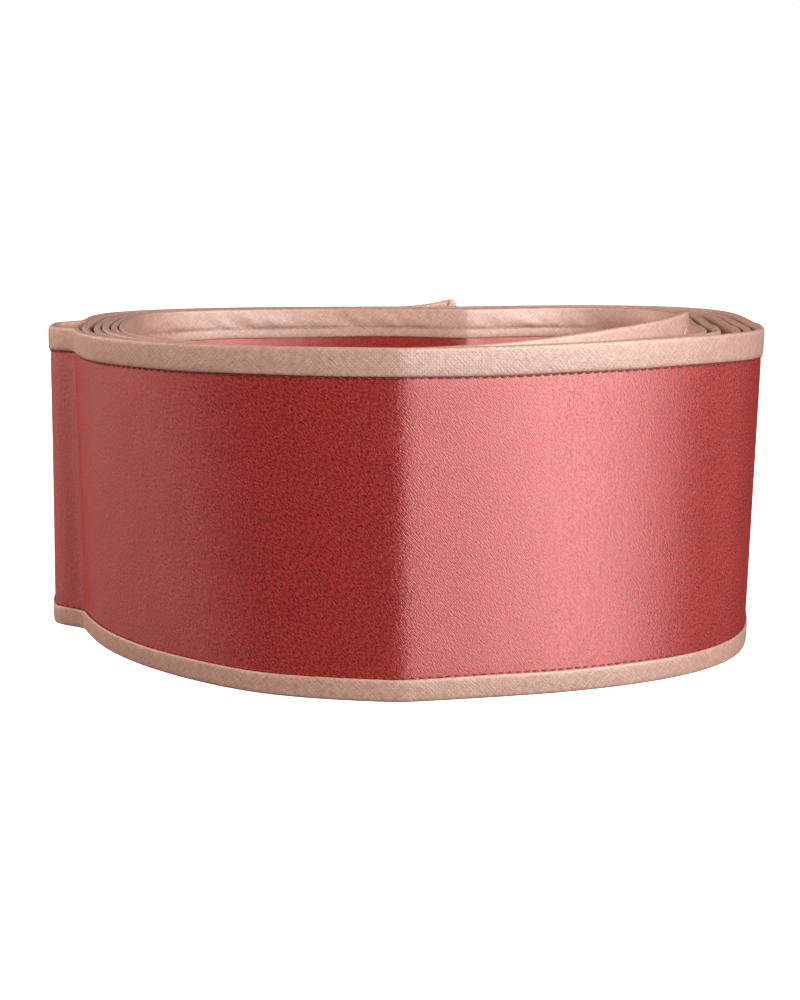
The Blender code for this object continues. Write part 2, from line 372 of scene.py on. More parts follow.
    def degrees_at(self, along: np.ndarray) -> np.ndarray:
        """Return the angles along the winding at some distances along the strip."""
        return np.interp(along, self.along, self.degrees)

    def along_at(self, degrees: float) -> float:
        """Return the distance along the strip at an angle along the winding."""
        return float(np.interp(degrees, self.degrees, self.along))

    def stations_between(self, start: float, end: float) -> np.ndarray:
        """Return the distances of the stations from one place to another, both included."""
        near = 0.12 * MM
        margin = 2.0 * near
        inner = self.along[(self.along > start + margin) & (self.along < end - margin)]
        return np.concatenate([[start, start + near], inner, [end - near, end]])

    def height_inside(self, edge: Edge, depth: np.ndarray) -> np.ndarray:
        """Return the heights that lie some depths inside a long edge."""
        return self.width - depth if edge is Edge.TOP else depth

    def between(
        self, along: np.ndarray, share: np.ndarray, foot: np.ndarray, head: np.ndarray
    ) -> np.ndarray:
        """Blend two station tables up the strip.

        Args:
            along: distances along the strip.
            share: heights as a share of the strip's width.
            foot: the table at the lower edge, a row for each station.
            head: the table at the upper edge.

        Returns:
            The blended rows, with x and y on the last axis.
        """
        low, high = (
            np.stack([np.interp(along, self.along, column) for column in table.T], axis=-1)
            for table in (foot, head)
        )
        return low * (1.0 - share[..., None]) + high * share[..., None]

    def place(self, along: np.ndarray, height: np.ndarray, offset: np.ndarray) -> np.ndarray:
        """Return points on or beside the strip.

        Args:
            along: distances along the strip from its outer end.
            height: heights above the strip's lower edge.
            offset: distances outward from the strip's middle.

        Returns:
            The points, with x, y and z on the last axis.
        """
        along, height, offset = np.broadcast_arrays(along, height, offset)
        share = height / self.width
        middle = self.between(along, share, self.foot, self.head)
        outward = unit(self.between(along, share, self.foot_out, self.head_out))
        degrees = self.degrees_at(along)
        relief = sum(fold.at(degrees, share) for fold in self.folds)
        plan = middle + outward * (offset + relief)[..., None]
        rise = np.interp(along, self.along, self.rise)
        lift = np.interp(along, self.along, self.lift)
        level = height + share * rise + lift
        return np.concatenate([plan, level[..., None]], axis=-1)


def deselect_all() -> None:
    """Leave nothing selected or active."""
    for item in bpy.context.view_layer.objects.selected[:]:
        item.select_set(False)
    bpy.context.view_layer.objects.active = None


def place_mesh(mesh: bpy.types.Mesh, material: bpy.types.Material) -> bpy.types.Object:
    """Put a finished mesh into the scene, as an object of its own name."""
    mesh.materials.append(material)
    item = bpy.data.objects.new(mesh.name, mesh)
    bpy.context.scene.collection.objects.link(item)
    return item


def loft_sheet(
    name: str, rings: np.ndarray, run: np.ndarray, girth: np.ndarray, material: bpy.types.Material
) -> bpy.types.Object:
    """Make a closed sheet through rings of points.

    Args:
        name: the piece's name.
        rings: the points, ring by ring, each ring closed on itself.
        run: the pattern's coordinate along the sheet, one for each ring point.
        girth: the pattern's coordinate round the ring, one more than the ring has points.
        material: the cloth's material.

    Returns:
        The sheet's object, with its place in its mesh.
    """
    count, points = rings.shape[:2]
    i, j = np.meshgrid(np.arange(count - 1), np.arange(points), indexing="ij")
    following = (j + 1) % points
    corners = ((i, j), (i, following), (i + 1, following), (i + 1, j))
    quads = np.stack([row * points + column for row, column in corners], axis=-1).reshape(-1, 4)
    u = np.stack([run[corner] for corner in corners], axis=-1)
    v = np.stack([girth[j], girth[j + 1], girth[j + 1], girth[j]], axis=-1)
    caps = [list(range(points)), [(count - 1) * points + k for k in range(points)]]
    mesh = bpy.data.meshes.new(name)
    mesh.from_pydata(rings.reshape(-1, 3).tolist(), [], quads.tolist() + caps)
    layer = mesh.uv_layers.new(name=UV_NAME)
    side_places = np.stack([u.ravel(), v.ravel()], axis=1)
    cap_places = [np.stack([run[row], girth[:-1]], axis=1) for row in (0, count - 1)]
    places = np.concatenate([side_places, *cap_places]).astype(np.float32)
    layer.uv.foreach_set("vector", places.ravel())
    bm = bmesh.new()
    bm.from_mesh(mesh)
    bmesh.ops.remove_doubles(bm, verts=bm.verts, dist=MERGE_DISTANCE)
    bmesh.ops.dissolve_degenerate(bm, dist=SHORTEST_EDGE, edges=bm.edges)
    bmesh.ops.recalc_face_normals(bm, faces=bm.faces)
    bm.to_mesh(mesh)
    bm.free()
    mesh.polygons.foreach_set("use_smooth", [len(face.vertices) <= 4 for face in mesh.polygons])
    return place_mesh(mesh, material)


class Value:
    """A number that varies over a surface: a shader socket with Python's arithmetic."""

    def __init__(self, tree: bpy.types.NodeTree, socket: bpy.types.NodeSocket) -> None:
        """Wrap a socket of a node tree."""
        self.tree = tree
        self.socket = socket

    def math(self, operation: str, first: Any, second: Any = 0.0) -> "Value":
        """Add a Math node.

        Args:
            operation: the node's operation.
            first: its first value, a number or a Value.
            second: its second value.

        Returns:
            The node's result.
        """
        node = self.tree.nodes.new("ShaderNodeMath")
        node.operation = operation
        for socket, value in zip(node.inputs, (first, second)):
            if isinstance(value, Value):
                self.tree.links.new(value.socket, socket)
            else:
                socket.default_value = value
        return Value(self.tree, node.outputs[0])

    def __add__(self, other: Any) -> "Value":
        """Add."""
        return self.math("ADD", self, other)


    def __sub__(self, other: Any) -> "Value":
        """Subtract."""
        return self.math("SUBTRACT", self, other)


    def __mul__(self, other: Any) -> "Value":
        """Multiply."""
        return self.math("MULTIPLY", self, other)


    def sine(self) -> "Value":
        """Return the sine."""
        return self.math("SINE", self)

    def limited(self) -> "Value":
        """Return the value kept between 0 and 1."""
        return self.math("MINIMUM", self.math("MAXIMUM", self, 0.0), 1.0)


def weighted(values: Sequence[Value], weights: Sequence[float]) -> Value:
    """Return the sum of some varying numbers, each times its weight."""
    total = values[0] * weights[0]
    for value, weight in zip(values[1:], weights[1:]):
        total = total + value * weight
    return total


class Cloth:
    """A Principled cloth material under construction, with its pattern coordinates."""

    def __init__(self, name: str) -> None:
        """Start a material with an empty Principled shader."""
        self.material = bpy.data.materials.new(name)
        self.material.use_nodes = True
        self.tree = self.material.node_tree
        self.shader = self.tree.nodes["Principled BSDF"]

    def node(self, kind: str, settings: dict[str, Any], sockets: dict[Any, Any]) -> bpy.types.Node:
        """Add any node but a Math node.

        Args:
            kind: the node's type.
            settings: its properties, set first.
            sockets: values or links for its inputs, by name or number.

        Returns:
            The node.
        """
        made = self.tree.nodes.new(kind)
        for key, value in settings.items():
            setattr(made, key, value)
        for key, value in sockets.items():
            if isinstance(value, Value):
                self.tree.links.new(value.socket, made.inputs[key])
            elif isinstance(value, bpy.types.NodeSocket):
                self.tree.links.new(value, made.inputs[key])
            else:
                made.inputs[key].default_value = value
        return made

    def value(self, node: bpy.types.Node, output: Any = 0) -> Value:
        """Wrap one output of a node."""
        return Value(self.tree, node.outputs[output])

    def set(self, **sockets: Any) -> None:
        """Set constants on the shader's own sockets; an underscore stands for a space."""
        for key, value in sockets.items():
            self.shader.inputs[key.replace("_", " ")].default_value = value

    def feed(self, name: str, source: Any) -> None:
        """Link something that varies to one of the shader's sockets."""
        socket = source.socket if isinstance(source, Value) else source
        self.tree.links.new(socket, self.shader.inputs[name])

    def pattern_axes(self) -> tuple[Value, Value]:
        """Return the cloth's own coordinates, along the strip and across it, in metres."""
        uv = self.node("ShaderNodeUVMap", {"uv_map": UV_NAME}, {})
        parts = self.node("ShaderNodeSeparateXYZ", {}, {0: uv.outputs[0]})
        return self.value(parts, 0), self.value(parts, 1)

    def noise(self, x: Value, y: Value, scale: Sequence[float], detail: float = 1.0) -> Value:
        """Return a noise over two coordinates.

        Args:
            x: the first coordinate.
            y: the second coordinate.
            scale: what each coordinate is multiplied by.
            detail: the noise's detail.

        Returns:
            A value about one half.
        """
        place = self.node("ShaderNodeCombineXYZ", {}, {0: x * scale[0], 1: y * scale[1]})
        settings = {"noise_dimensions": "2D"}
        sockets = {"Vector": place.outputs[0], "Scale": 1.0, "Detail": detail, "Roughness": 0.55}
        return self.value(self.node("ShaderNodeTexNoise", settings, sockets), 0)

    def mixed(
        self, amount: Value, dark: Sequence[float], light: Sequence[float]
    ) -> bpy.types.NodeSocket:
        """Return a colour between two others."""
        settings = {"data_type": "RGBA"}
        sockets = {0: amount, 6: (*dark, 1.0), 7: (*light, 1.0)}
        return self.node("ShaderNodeMix", settings, sockets).outputs[2]

    def relief(self, height: Value, strength: float, distance: float) -> None:
        """Feed a bump to the shader's normal."""
        sockets = {"Strength": strength, "Distance": distance, "Height": height}
        self.feed("Normal", self.node("ShaderNodeBump", {}, sockets).outputs[0])


@dataclass(frozen=True)
class SatinFinish:
    """Heavy rose-coral satin: long floats with a fine twill, glossy in a broad soft way."""

    name: str = "rose_satin"
    dark: tuple[float, float, float] = (0.10, 0.004, 0.003)
    light: tuple[float, float, float] = (0.40, 0.034, 0.028)
    roughness: float = 0.48
    ior: float = 2.6
    gloss_tint: tuple[float, float, float, float] = (1.0, 0.50, 0.49, 1.0)
    anisotropy: float = 0.9
    anisotropy_turn: float = 0.25
    twill_pitch: float = 0.00050
    twill_slope: float = 0.85
    twill_wander: float = 12.0
    # spots for each metre, along the strip and across it
    mottle_scale: tuple[float, float] = (90.0, 110.0)
    clump_scale: tuple[float, float] = (900.0, 760.0)
    grain_scale: tuple[float, float] = (1.0 / 0.00045, 1.1 / 0.00045)
    # floats for each twill line, and for each metre along a line
    dash_scale: tuple[float, float] = (1.05, 850.0)
    # how far the grain, dashes, clumps, mottle and twill lighten the colour, from what start
    tone_weights: tuple = (1.5, 1.7, 0.3, 0.2, 0.10)
    tone_start: float = -1.35
    # how far the grain, dashes and twill raise the surface
    relief_weights: tuple = (0.7, 1.0, 0.15)
    relief_strength: float = 0.50
    relief_depth: float = 0.00012

    def build(self) -> bpy.types.Material:
        """Return the material."""
        cloth = Cloth(self.name)
        along, across = cloth.pattern_axes()
        mottle = cloth.noise(along, across, self.mottle_scale, 2.0)
        clumps = cloth.noise(along, across, self.clump_scale, 2.0)
        grain = cloth.noise(along, across, self.grain_scale, 2.0)
        slant = (along + across * self.twill_slope) * (1.0 / self.twill_pitch)
        dashes = cloth.noise(slant, across - along * self.twill_slope, self.dash_scale)
        twill = (slant * math.tau + clumps * self.twill_wander).sine()
        patterns = (grain, dashes, clumps, mottle, twill)
        tone = weighted(patterns, self.tone_weights) + self.tone_start
        cloth.feed("Base Color", cloth.mixed(tone.limited(), self.dark, self.light))
        height = weighted((grain, dashes, twill), self.relief_weights)
        cloth.relief(height, self.relief_strength, self.relief_depth)
        cloth.set(Roughness=self.roughness, IOR=self.ior, Specular_Tint=self.gloss_tint)
        cloth.set(Anisotropic=self.anisotropy, Anisotropic_Rotation=self.anisotropy_turn)
        return cloth.material


@dataclass(frozen=True)
class BindingFinish:
    """Matt peach bias tape: a plain weave whose threads cross the strip at 45 degrees."""

    name: str = "peach_bias_tape"
    dark: tuple[float, float, float] = (0.28, 0.145, 0.105)
    light: tuple[float, float, float] = (0.48, 0.280, 0.218)
    roughness: float = 0.50
    ior: float = 2.1
    gloss_tint: tuple[float, float, float, float] = (1.0, 0.86, 0.82, 1.0)
    thread_pitch: float = 0.00048
    thread_wander: float = 2.5
    # spots for each metre: of the wander and the mottle, and of the slubs along and across a thread
    wander_scale: tuple[float, float] = (500.0, 500.0)
    mottle_scale: tuple[float, float] = (130.0, 160.0)
    slub_scale: tuple[float, float] = (400.0, 2500.0)
    # how far the two ways' slubs, the mottle and the weave lighten the colour, from what start
    tone_weights: tuple = (1.1, 1.1, 0.3, 0.08)
    tone_start: float = -0.75
    # how far the slubs and the weave raise the surface
    relief_weights: tuple = (1.0, 1.0, 0.2)
    relief_strength: float = 0.5
    relief_depth: float = 0.00013

    def build(self) -> bpy.types.Material:
        """Return the material."""
        cloth = Cloth(self.name)
        along, across = cloth.pattern_axes()
        first = (along + across) * math.sqrt(0.5)
        second = (along - across) * math.sqrt(0.5)
        turns = math.tau / self.thread_pitch
        wander = cloth.noise(along, across, self.wander_scale) * self.thread_wander
        weave = (first * turns + wander).sine() * (second * turns + wander).sine()
        slub_a = cloth.noise(first, second, self.slub_scale)
        slub_b = cloth.noise(first, second, self.slub_scale[::-1])
        mottle = cloth.noise(along, across, self.mottle_scale, 2.0)
        tone = weighted((slub_a, slub_b, mottle, weave), self.tone_weights) + self.tone_start
        cloth.feed("Base Color", cloth.mixed(tone.limited(), self.dark, self.light))
        height = weighted((slub_a, slub_b, weave), self.relief_weights)
        cloth.relief(height, self.relief_strength, self.relief_depth)
        cloth.set(Roughness=self.roughness, IOR=self.ior, Specular_Tint=self.gloss_tint)
        return cloth.material


@dataclass(frozen=True)
class ThreadFinish:
    """Sewing thread with a little gloss, dark red unless other colours are given."""

    name: str = "red_thread"
    dark: tuple[float, float, float] = (0.10, 0.006, 0.006)
    light: tuple[float, float, float] = (0.26, 0.022, 0.020)
    roughness: float = 0.5
    strands_per_metre: float = 1500.0
    relief_strength: float = 0.4
    relief_depth: float = 0.00006

    def build(self) -> bpy.types.Material:
        """Return the material."""
        cloth = Cloth(self.name)
        place = cloth.node("ShaderNodeTexCoord", {}, {})
        settings = {"noise_dimensions": "3D"}
        scale = self.strands_per_metre
        sockets = {"Vector": place.outputs["Object"], "Scale": scale, "Detail": 1.0}
        strands = cloth.value(cloth.node("ShaderNodeTexNoise", settings, sockets))
        cloth.feed("Base Color", cloth.mixed(strands, self.dark, self.light))
        cloth.relief(strands, self.relief_strength, self.relief_depth)
        cloth.set(Roughness=self.roughness)
        return cloth.material


@dataclass(frozen=True)
class FloorFinish:
    """A plain, nearly white table top."""

    name: str = "pale_floor"
    dark: tuple[float, float, float] = (0.90, 0.90, 0.90)
    light: tuple[float, float, float] = (0.93, 0.93, 0.93)
    roughness: float = 0.9
    glow: float = 1.0
    clouds_per_metre: float = 6.0

    def build(self) -> bpy.types.Material:
        """Return the material."""
        cloth = Cloth(self.name)
        place = cloth.node("ShaderNodeTexCoord", {}, {})
        scale = self.clouds_per_metre
        sockets = {"Vector": place.outputs["Object"], "Scale": scale, "Detail": 2.0}
        tone = cloth.value(cloth.node("ShaderNodeTexNoise", {}, sockets))
        cloth.feed("Base Color", cloth.mixed(tone, self.dark, self.light))
        cloth.set(Roughness=self.roughness)
        cloth.set(Emission_Color=(*WHITE, 1.0), Emission_Strength=self.glow)
        return cloth.material


@dataclass
class SatinStrip:
    """The satin itself, in one stretch for each turn of the coil."""

    path: CoilPath
    material: bpy.types.Material
    half_thickness: float = 0.00045
    edge_cover: float = 0.0012
    top_seam: float = 0.0065
    bottom_seam: float = 0.0052
    ditch_depth: float = 0.00010
    ditch_spread: float = 0.0016
    # heights of the rows near a seam, above it, in mm
    near_seam_rows: tuple = (-0.4, 0.1, 0.6, 1.3, 2.5)
    middle_rows: int = 14

    def heights(self) -> np.ndarray:
        """Return the heights of the rows of points up the strip."""
        near = np.array(self.near_seam_rows) * MM
        low = self.bottom_seam + near
        high = self.path.width - self.top_seam - near[::-1]
        middle = np.linspace(low[-1], high[0], self.middle_rows + 2)[1:-1]
        upper_edge = self.path.width - self.edge_cover
        return np.concatenate([[self.edge_cover], low, middle, high, [upper_edge]])

    def drawn_in(self, height: np.ndarray) -> np.ndarray:
        """Return how far the stitches pull the satin in beside each seam."""
        low = (height - self.bottom_seam) / self.ditch_spread
        high = (self.path.width - self.top_seam - height) / self.ditch_spread
        return self.ditch_depth * (np.exp(-(low**2)) + np.exp(-(high**2)))

    def build_stretch(self, number: int, start: float, end: float) -> bpy.types.Object:
        """Make the satin of one turn.

        Args:
            number: the turn, outermost first.
            start: where it starts along the strip.
            end: where it ends.

        Returns:
            The piece.
        """
        rows = self.heights()
        height = np.concatenate([rows, rows[::-1]])
        side = np.concatenate([np.ones(len(rows)), -np.ones(len(rows))])
        offset = side * (self.half_thickness - self.drawn_in(height))
        along = self.path.stations_between(start, end)
        rings = self.path.place(along[:, None], height[None, :], offset[None, :])
        run = np.repeat(along[:, None], len(height), axis=1)
        reverse_start = 2.0 * self.path.width
        girth = np.where(side > 0.0, height, reverse_start - height)
        girth = np.append(girth, reverse_start)
        return loft_sheet(f"satin_{number}", rings, run, girth, self.material)


@dataclass
class BindingSection:
    """The bias tape folded over an edge: its points across the strip, from hem to hem."""

    front: float
    reverse: float
    # offset and depth in mm, then the shares of the front and reverse widths that add to the depth
    rows: tuple = (
        (0.44, -0.90, 1.00, 0.00),
        (0.46, -0.05, 1.00, 0.00),
        (0.62, 0.00, 1.00, 0.00),
        (0.78, -0.10, 1.00, 0.00),
        (0.88, -0.35, 1.00, 0.00),
        (0.93, -0.90, 1.00, 0.00),
        (0.95, 0.00, 0.62, 0.00),
        (0.94, 0.00, 0.38, 0.00),
        (0.91, 1.00, 0.00, 0.00),
        (0.87, 0.50, 0.00, 0.00),
        (0.74, 0.20, 0.00, 0.00),
        (0.44, 0.04, 0.00, 0.00),
        (0.00, 0.00, 0.00, 0.00),
        (-0.44, 0.04, 0.00, 0.00),
        (-0.74, 0.20, 0.00, 0.00),
        (-0.87, 0.50, 0.00, 0.00),
        (-0.91, 1.00, 0.00, 0.00),
        (-0.92, 0.00, 0.00, 0.22),
        (-0.93, 0.00, 0.00, 0.34),
        (-0.93, 0.00, 0.00, 0.46),
        (-0.92, 0.00, 0.00, 0.57),
        (-0.88, 0.00, 0.00, 0.64),
        (-0.80, 0.00, 0.00, 0.68),
        (-0.86, 0.00, 0.00, 0.73),
        (-0.87, 0.00, 0.00, 0.86),
        (-0.84, -0.35, 0.00, 1.00),
        (-0.75, -0.08, 0.00, 1.00),
        (-0.60, 0.00, 0.00, 1.00),
        (-0.46, -0.05, 0.00, 1.00),
        (-0.44, -0.90, 0.00, 1.00),
        (-0.43, 1.60, 0.00, 0.00),
        (0.43, 1.60, 0.00, 0.00),
    )

    @property
    def offsets(self) -> np.ndarray:
        """The points' distances from the strip's middle."""
        return np.array(self.rows)[:, 0] * MM

    @property
    def on_reverse(self) -> np.ndarray:
        """Whether each point lies on the tape's outside, on the reverse."""
        hem_offset = -0.5 * MM
        return self.offsets < hem_offset

    def depths(self, front: np.ndarray, reverse: np.ndarray) -> np.ndarray:
        """Return the points' depths from the folded edge.

        Args:
            front: the tape's width on the front, one for each ring.
            reverse: its width on the reverse.

        Returns:
            One row of depths for each ring.
        """
        table = np.array(self.rows)
        return table[:, 1] * MM + np.outer(front, table[:, 2]) + np.outer(reverse, table[:, 3])

    def plain_depths(self) -> np.ndarray:
        """Return the points' depths where the tape has just its own widths."""
        return self.depths(np.array([self.front]), np.array([self.reverse]))[0]

    def girth(self) -> np.ndarray:
        """Return the distance round the section at each point, and at its close."""
        points = np.stack([self.offsets, self.plain_depths()], axis=1)
        steps = np.linalg.norm(np.roll(points, -1, axis=0) - points, axis=1)
        return np.concatenate([[0.0], np.cumsum(steps)])


@dataclass
class EdgeBinding:
    """The bias tape over both long edges and both ends, mitred at the corners."""

    path: CoilPath
    material: bpy.types.Material
    corner_radius: float = 0.0026
    mitre_run: float = 0.0140
    mitre_rings: int = 9
    corner_rings: int = 7
    end_rings: int = 44
    pucker: float = 0.00009
    open_pucker: float = 0.00036
    open_bulge: float = 0.00042
    opening_deg: float = 12.0
    # of the tape's width on the reverse: where the puckers start and end, and how softly
    pucker_start: tuple[float, float] = (0.08, 0.30)
    pucker_end: tuple[float, float] = (0.70, 0.12)
    drag_slant: float = 1.4
    # waves along the tape: size, radians for each metre and phase; the drag lines' sizes are shares
    drag_waves: tuple = ((1.0, 710.0, 0.0), (0.7, 1130.0, 1.7), (0.6, 290.0, 0.6))
    uneven_mean: float = 0.55
    uneven_waves: tuple = ((0.45, 133.0, 0.9),)
    slack_mean: float = 0.50
    slack_waves: tuple = ((0.32, 157.0, 2.2), (0.18, 391.0, 0.0))
    front_wander: tuple = ((0.00008, 61.0, 0.0), (0.00005, 173.0, 1.0))
    reverse_wander: tuple = ((0.00025, 43.0, 2.0), (0.00012, 119.0, 0.0))
    sections: dict = field(
        default_factory=lambda: {
            Edge.TOP: BindingSection(front=0.0065, reverse=0.0092),
            Edge.BOTTOM: BindingSection(front=0.0052, reverse=0.0086),
            End.OUTER: BindingSection(front=0.0066, reverse=0.0092),
            End.INNER: BindingSection(front=0.0066, reverse=0.0092),
        }
    )
    # how the front width departs from its size, in mm, at the back, left, front and right
    top_width_row: tuple = (0.1, -0.4, 0.0, 0.3)
    bottom_width_row: tuple = (0.1, -0.1, 0.1, 0.0)

    def front_width(self, edge: Edge, along: np.ndarray) -> np.ndarray:
        """Return the tape's width on the front of an edge, which wanders a little."""
        row = self.top_width_row if edge is Edge.TOP else self.bottom_width_row
        rows = (row,) * len(self.path.inset_rows)
        width = self.sections[edge].front + by_quarter(rows, self.path.degrees_at(along))
        return width + waves(along, self.front_wander)

    def reverse_width(self, edge: Edge, along: np.ndarray) -> np.ndarray:
        """Return the tape's width on the reverse, where it is let run unevenly."""
        return self.sections[edge].reverse + waves(along, self.reverse_wander)

    def puckers(self, along: np.ndarray, depth: np.ndarray, reverse: np.ndarray) -> np.ndarray:
        """Return how the reverse stands off in the drag lines that the stitches draw.

        Args:
            along: distances along the strip.
            depth: depths from the folded edge.
            reverse: the tape's width on the reverse.

        Returns:
            Offsets away from the strip.
        """
        share = depth / reverse
        start, start_ease = self.pucker_start
        end, end_ease = self.pucker_end
        free = smooth_step((share - start) / start_ease) * smooth_step((end - share) / end_ease)
        slant = along + depth * self.drag_slant
        full_size = sum(size for size, _, _ in self.drag_waves)
        lines = waves(slant, self.drag_waves) / full_size
        uneven = self.uneven_mean + waves(along, self.uneven_waves)
        slack = self.slack_mean + waves(slant, self.slack_waves)
        innermost_deg = self.path.inner_end_deg - 360.0
        is_open = smooth_step((self.path.degrees_at(along) - innermost_deg) / self.opening_deg)
        size = self.pucker + (self.open_pucker - self.pucker) * is_open
        return free * (size * uneven * lines + self.open_bulge * is_open * slack)

    def build_run(self, edge: Edge, number: int, start: float, end: float) -> bpy.types.Object:
        """Make the tape over a long edge for one turn.

        Args:
            edge: the long edge.
            number: the turn, outermost first.
            start: where it starts along the strip.
            end: where it ends.

        Returns:
            The piece.
        """
        section = self.sections[edge]
        first = start + (self.mitre_run if start <= 0.0 else 0.0)
        last = end - (self.mitre_run if end >= self.path.length else 0.0)
        stations = self.path.stations_between(first, last)
        depth = self.edge_depths(edge, stations)
        along = np.repeat(stations[:, None], depth.shape[1], axis=1)
        if start <= 0.0:
            mitre = self.mitre_grid(End.OUTER, depth[0], first)
            along = np.concatenate([mitre, along])
            depth = np.concatenate([np.repeat(depth[:1], len(mitre), axis=0), depth])
        if end >= self.path.length:
            mitre = self.path.length - self.mitre_grid(End.INNER, depth[-1], self.mitre_run)
            along = np.concatenate([along, mitre[::-1]])
            depth = np.concatenate([depth, np.repeat(depth[-1:], len(mitre), axis=0)])
        pucker = self.puckers(along, depth, self.reverse_width(edge, along))
        offset = section.offsets - np.where(section.on_reverse, pucker, 0.0)
        rings = self.path.place(along, self.path.height_inside(edge, depth), offset)
        name = f"binding_{edge.value}_{number}"
        return loft_sheet(name, rings, along, section.girth(), self.material)

    def edge_depths(self, edge: Edge, along: np.ndarray) -> np.ndarray:
        """Return the depths of the section over a long edge, a row for each distance."""
        section = self.sections[edge]
        return section.depths(self.front_width(edge, along), self.reverse_width(edge, along))

    def mitre_grid(self, end: End, depth: np.ndarray, run: float) -> np.ndarray:
        """Return distances from the end, ring by ring, from the mitre to a square ring.

        Args:
            end: the short end.
            depth: the long edge's depths there.
            run: how far along the square ring lies.

        Returns:
            A row of distances for each ring, the last one before the square ring.
        """
        mitre = np.maximum(self.sections[end].plain_depths(), self.corner_radius)
        shares = np.linspace(0.0, 1.0, self.mitre_rings + 1)[:-1, None]
        return mitre + (run - mitre) * shares

    def build_end(self, end: End) -> bpy.types.Object:
        """Make the tape over a short end, with its two rounded corners.

        Args:
            end: the short end.

        Returns:
            The piece.
        """
        section = self.sections[end]
        from_end = section.plain_depths()
        place = np.array([0.0 if end is End.OUTER else self.path.length])
        bottom, top = (self.edge_depths(edge, place)[0] for edge in (Edge.BOTTOM, Edge.TOP))
        turn = np.radians(np.linspace(0.0, 90.0, self.corner_rings))[:, None]
        corner = self.round_corner(from_end, np.sin(turn))
        rise = self.round_corner(bottom, np.cos(turn))
        fall = self.path.width - self.round_corner(top, np.cos(turn))[::-1]
        low, high = rise[-1], fall[0]
        shares = np.linspace(0.0, 1.0, self.end_rings + 2)[1:-1, None]
        straight = np.repeat(from_end[None, :], self.end_rings, axis=0)
        along = np.concatenate([corner, straight, corner[::-1]])
        if end is End.INNER:
            along = self.path.length - along
        height = np.concatenate([rise, low + (high - low) * shares, fall])
        rings = self.path.place(along, height, section.offsets)
        name = f"binding_end_{end.value}_edge"
        return loft_sheet(name, rings, height, section.girth(), self.material)

    def round_corner(self, depth: np.ndarray, turn: np.ndarray) -> np.ndarray:
        """Return one coordinate of the points round a corner.

        Args:
            depth: depths from that coordinate's own edge.
            turn: the sine or cosine of the turn round the corner, one for each ring.

        Returns:
            Distances from that edge: on an arc outside the radius, at the mitre inside it.
        """
        radius = self.corner_radius
        return np.where(depth > radius, depth, radius - (radius - depth) * turn)


@dataclass
class StitchLine:
    """Machine stitches: one thread form, copied along a line on the strip."""

    path: CoilPath
    material: bpy.types.Material
    pitch: float = 0.00206
    stitch_length: float = 0.00176
    thread_radius: float = 0.00019
    dip: float = 0.00022
    segments: int = 6
    rings: int = 4

    def one_stitch(self) -> tuple[np.ndarray, list[list[int]]]:
        """Model one stitch about the origin, along X, standing up along Z.

        Returns:
            Its points and its faces.
        """
        deselect_all()
        bpy.ops.mesh.primitive_uv_sphere_add(
            segments=self.segments, ring_count=self.rings, radius=self.thread_radius
        )
        bead = bpy.context.object
        bpy.ops.object.mode_set(mode="EDIT")
        bpy.ops.mesh.select_all(action="SELECT")
        stretch = self.stitch_length / (2.0 * self.thread_radius)
        bpy.ops.transform.resize(value=(1.0, 1.0, stretch))
        centre = (0.0, 0.0, 0.0)
        bpy.ops.transform.rotate(value=math.pi / 2, orient_axis="Y", center_override=centre)
        bpy.ops.object.mode_set(mode="OBJECT")
        points = np.array([vert.co for vert in bead.data.vertices])
        faces = [list(face.vertices) for face in bead.data.polygons]
        bpy.data.objects.remove(bead, do_unlink=True)
        ends = (2.0 * points[:, 0] / self.stitch_length) ** 2
        points[:, 2] -= self.dip * ends
        return points, faces

    def build(
        self,
        name: str,
        along: np.ndarray,
        height: np.ndarray,
        offset: float,
        side: Side,
        upright: bool = False,
    ) -> bpy.types.Object:
        """Make a line of stitches.

        Args:
            name: the piece's name.
            along: the stitches' distances along the strip.
            height: their heights above its lower edge.
            offset: how far their middles stand from the strip's middle.
            side: the face they lie on.
            upright: whether the line runs up the strip.

        Returns:
            The piece.
        """
        points, faces = self.one_stitch()
        place = self.path.place
        middle = place(along, height, offset * side.value)
        reach = self.stitch_length / 2
        run = unit(place(along + reach, height, 0.0) - place(along - reach, height, 0.0))
        rise = unit(place(along, height + reach, 0.0) - place(along, height - reach, 0.0))
        out = unit(np.cross(run, rise) * side.value)
        axes = np.stack([rise, run, out] if upright else [run, rise, out], axis=1)
        placed = middle[:, None, :] + points @ axes
        starts = range(0, len(along) * len(points), len(points))
        every_face = [[start + vertex for vertex in face] for start in starts for face in faces]
        mesh = bpy.data.meshes.new(name)
        mesh.from_pydata(placed.reshape(-1, 3).tolist(), [], every_face)
        bm = bmesh.new()
        bm.from_mesh(mesh)
        bmesh.ops.recalc_face_normals(bm, faces=bm.faces)
        bm.to_mesh(mesh)
        bm.free()
        mesh.polygons.foreach_set("use_smooth", [True] * len(mesh.polygons))
        return place_mesh(mesh, self.material)


